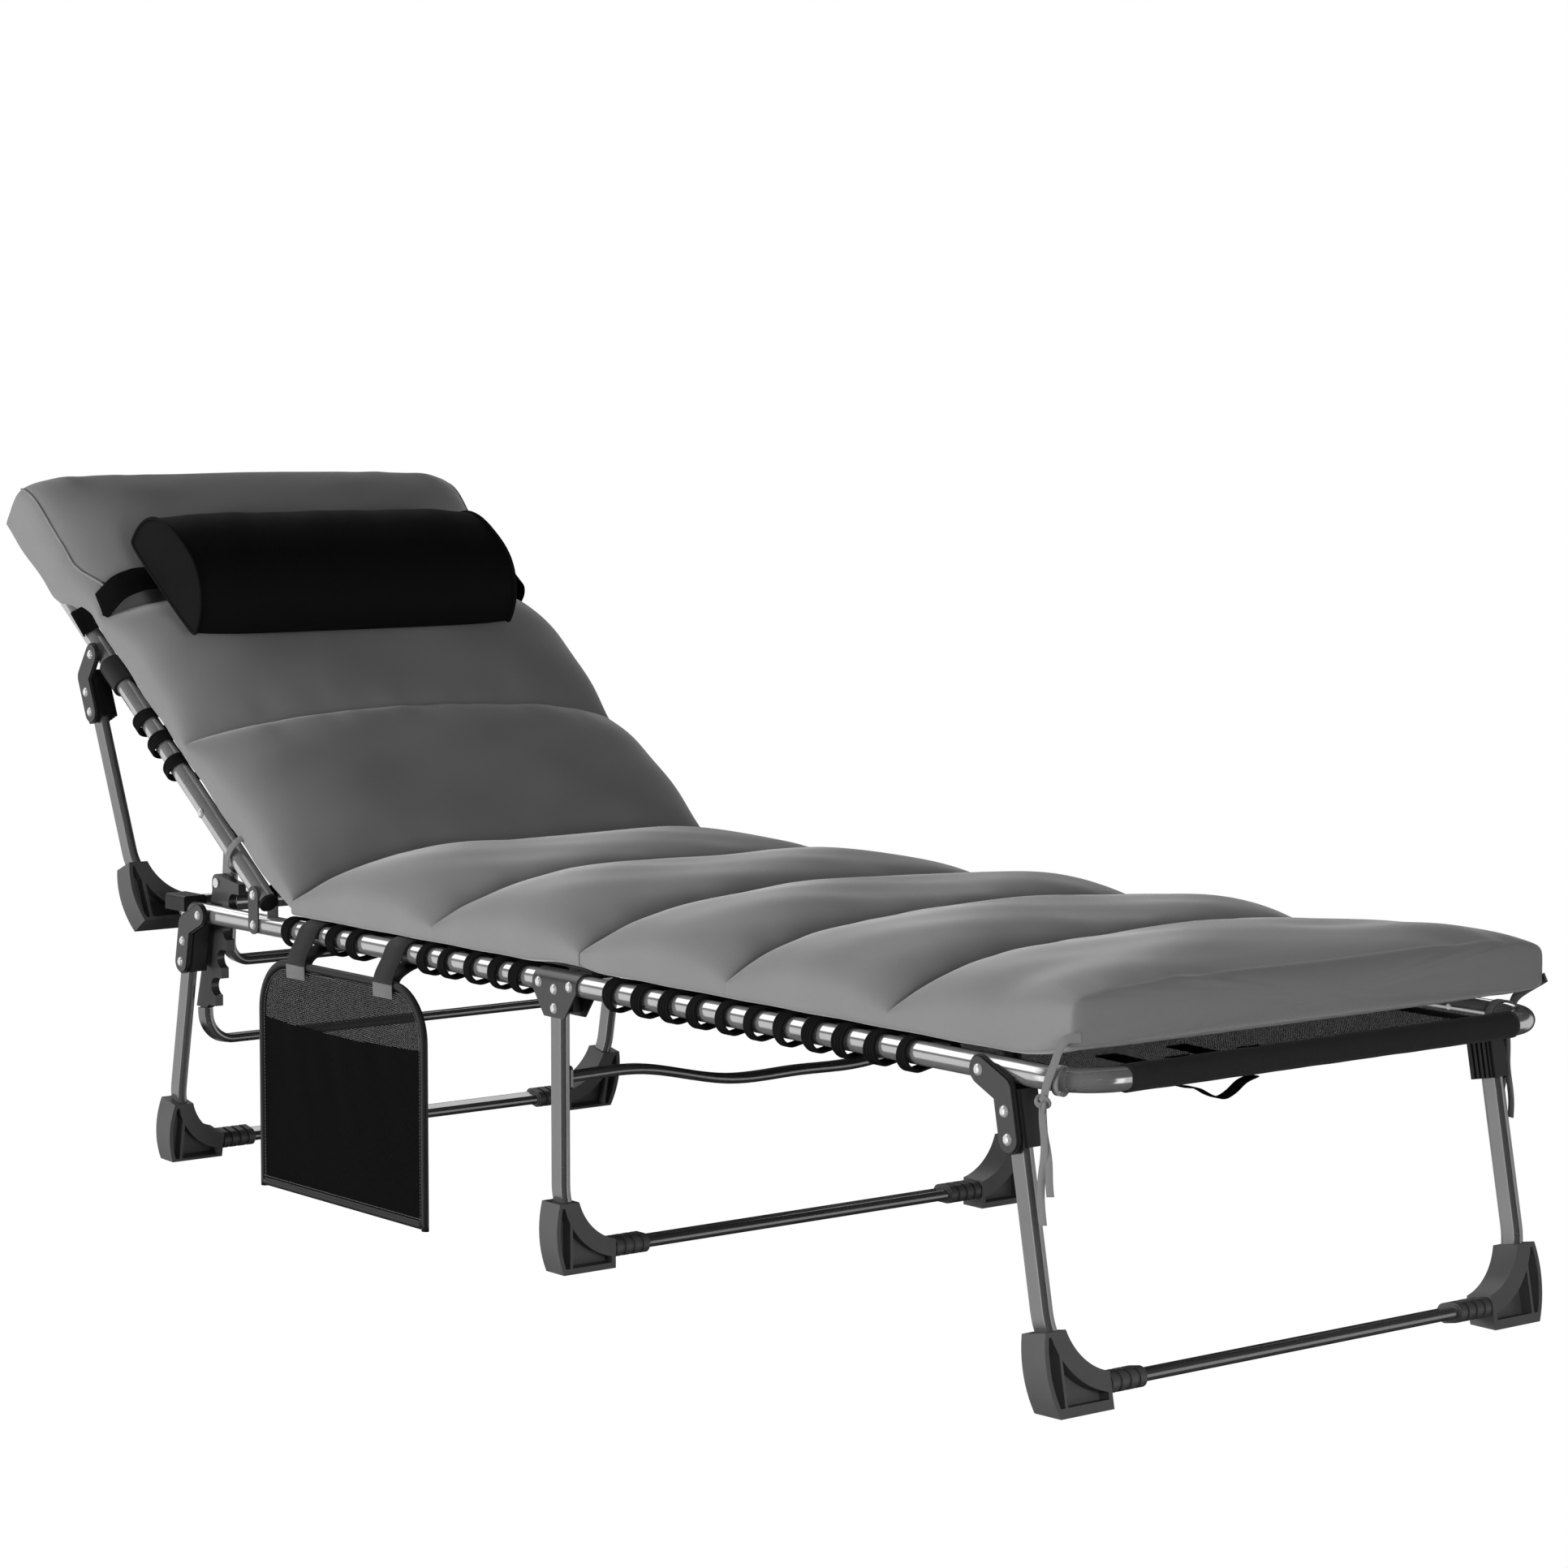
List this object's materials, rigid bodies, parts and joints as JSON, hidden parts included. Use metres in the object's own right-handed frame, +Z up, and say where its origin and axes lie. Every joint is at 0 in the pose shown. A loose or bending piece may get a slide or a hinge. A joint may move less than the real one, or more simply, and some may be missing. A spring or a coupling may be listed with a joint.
{
  "type": "folding lounge chair",
  "caption": "Folding padded lounge chair with a reclining back, notched support racks, folding legs, elastic-laced mesh bed, quilted pad, bolster pillow and side pocket.",
  "frame": {"origin": "on the floor, midway between the two middle feet", "axes": "+X along the bed towards the foot end, +Y across it to the side without the pocket, +Z up"},
  "size_m": [1.908, 0.6348, 0.7799],
  "materials": {
    "shoe_plastic": "moulded black plastic with a fine grain",
    "black_plastic": "black moulded plastic",
    "grip_sleeve": "black ribbed sleeve",
    "rivet_steel": "bright domed steel",
    "plate_steel": "dark grey powder coat",
    "rail_steel": "grey metallic paint, semi-gloss",
    "leg_steel": "grey metallic paint, semi-gloss",
    "rack_steel": "dark grey powder coat",
    "mesh_cloth": "black woven mesh",
    "sleeve_cloth": "black woven cloth",
    "elastic_cord": "black woven elastic",
    "webbing": "black webbing",
    "hanger_tape": "dark grey webbing",
    "pad_cloth": "grey brushed cloth, quilted in cells",
    "pillow_cloth": "black smooth cloth",
    "pocket_mesh": "black mesh with bound edges"
  },
  "bodies": {
    "middle_frame": {"fold_gussets": "plate_steel", "middle_leg_tube": "leg_steel", "middle_leg_shoes": "shoe_plastic", "fold_spacers": "black_plastic", "fold_rivets": "rivet_steel", "brace_tube": "leg_steel", "brace_rivets": "rivet_steel"},
    "foot_section": {"foot_frame": "rail_steel", "foot_mesh": "mesh_cloth", "foot_sleeve": "sleeve_cloth", "foot_loops": "elastic_cord", "foot_webbing": "webbing", "foot_pad": "pad_cloth"},
    "head_section": {"head_frame": "rail_steel", "bumper_blocks": "black_plastic", "notched_racks": "rack_steel", "rack_saddles": "black_plastic", "rack_rivets": "rivet_steel", "rack_frame_tube": "leg_steel", "rack_frame_plugs": "black_plastic", "link_plates": "plate_steel", "link_rivets": "rivet_steel", "head_mesh": "mesh_cloth", "head_loops": "elastic_cord", "seat_pad": "pad_cloth", "pad_fold": "pad_cloth"},
    "backrest": {"back_frame": "rail_steel", "back_end_caps": "black_plastic", "back_grip_sleeves": "grip_sleeve", "support_pins": "rivet_steel", "back_mesh": "mesh_cloth", "back_sleeve": "sleeve_cloth", "back_loops": "elastic_cord", "back_pad": "pad_cloth", "pillow_strap": "webbing"},
    "back_support": {"support_frame_tube": "leg_steel"},
    "front_leg": {"front_leg_tube": "leg_steel", "front_leg_shoes": "shoe_plastic", "front_leg_plates": "plate_steel", "front_leg_washers": "black_plastic", "front_leg_knuckles": "black_plastic", "front_leg_rivets": "rivet_steel"},
    "rear_leg": {"rear_leg_tube": "leg_steel", "rear_leg_shoes": "shoe_plastic", "rear_leg_plates": "plate_steel", "rear_leg_washers": "black_plastic", "rear_leg_knuckles": "black_plastic", "rear_leg_rivets": "rivet_steel"},
    "head_leg": {"head_leg_tube": "leg_steel", "head_leg_shoes": "shoe_plastic", "head_leg_plates": "plate_steel", "head_leg_washers": "black_plastic", "head_leg_knuckles": "black_plastic", "head_leg_rivets": "rivet_steel"},
    "pillow": {"pillow": "pillow_cloth"},
    "side_pocket": {"side_pocket_bag": "pocket_mesh", "pocket_hangers": "hanger_tape"}
  },
  "joints": [
    {"name": "foot_fold", "type": "hinge", "parent": "middle_frame", "child": "foot_section", "pos_m": [0.026, 0, 0.29], "axis": [0, 1, 0], "range_deg": [0, 78]},
    {"name": "head_fold", "type": "hinge", "parent": "middle_frame", "child": "head_section", "pos_m": [-0.026, 0, 0.29], "axis": [0, -1, 0], "range_deg": [0, 78]},
    {"name": "back_recline", "type": "hinge", "parent": "head_section", "child": "backrest", "pos_m": [-0.571, 0, 0.323], "axis": [0, 1, 0], "range_deg": [-30, 59.5]},
    {"name": "support_swing", "type": "hinge", "parent": "backrest", "child": "back_support", "pos_m": [-0.68416, 0, 0.40372], "axis": [0, 1, 0], "range_deg": [-39, 20]},
    {"name": "front_leg_fold", "type": "hinge", "parent": "foot_section", "child": "front_leg", "pos_m": [0.643, 0, 0.29], "axis": [0, 1, 0], "range_deg": [0, 96]},
    {"name": "rear_leg_fold", "type": "hinge", "parent": "head_section", "child": "rear_leg", "pos_m": [-0.68, 0, 0.29], "axis": [0, -1, 0], "range_deg": [0, 96]},
    {"name": "head_leg_fold", "type": "hinge", "parent": "backrest", "child": "head_leg", "pos_m": [-0.91619, 0, 0.56922], "axis": [0, -1, 0], "range_deg": [-66, 4]},
    {"name": "pillow_slide", "type": "slide", "parent": "backrest", "child": "pillow", "axis": [-0.8141, 0, 0.5807], "range_m": [0, 0.08]},
    {"name": "pocket_swing", "type": "hinge", "parent": "head_section", "child": "side_pocket", "pos_m": [0, -0.293, 0.29], "axis": [-1, 0, 0], "range_deg": [0, 60]}
  ],
  "couplings": [
    {"joint": "support_swing", "follows": "back_recline", "ratio": -0.65}
  ]
}
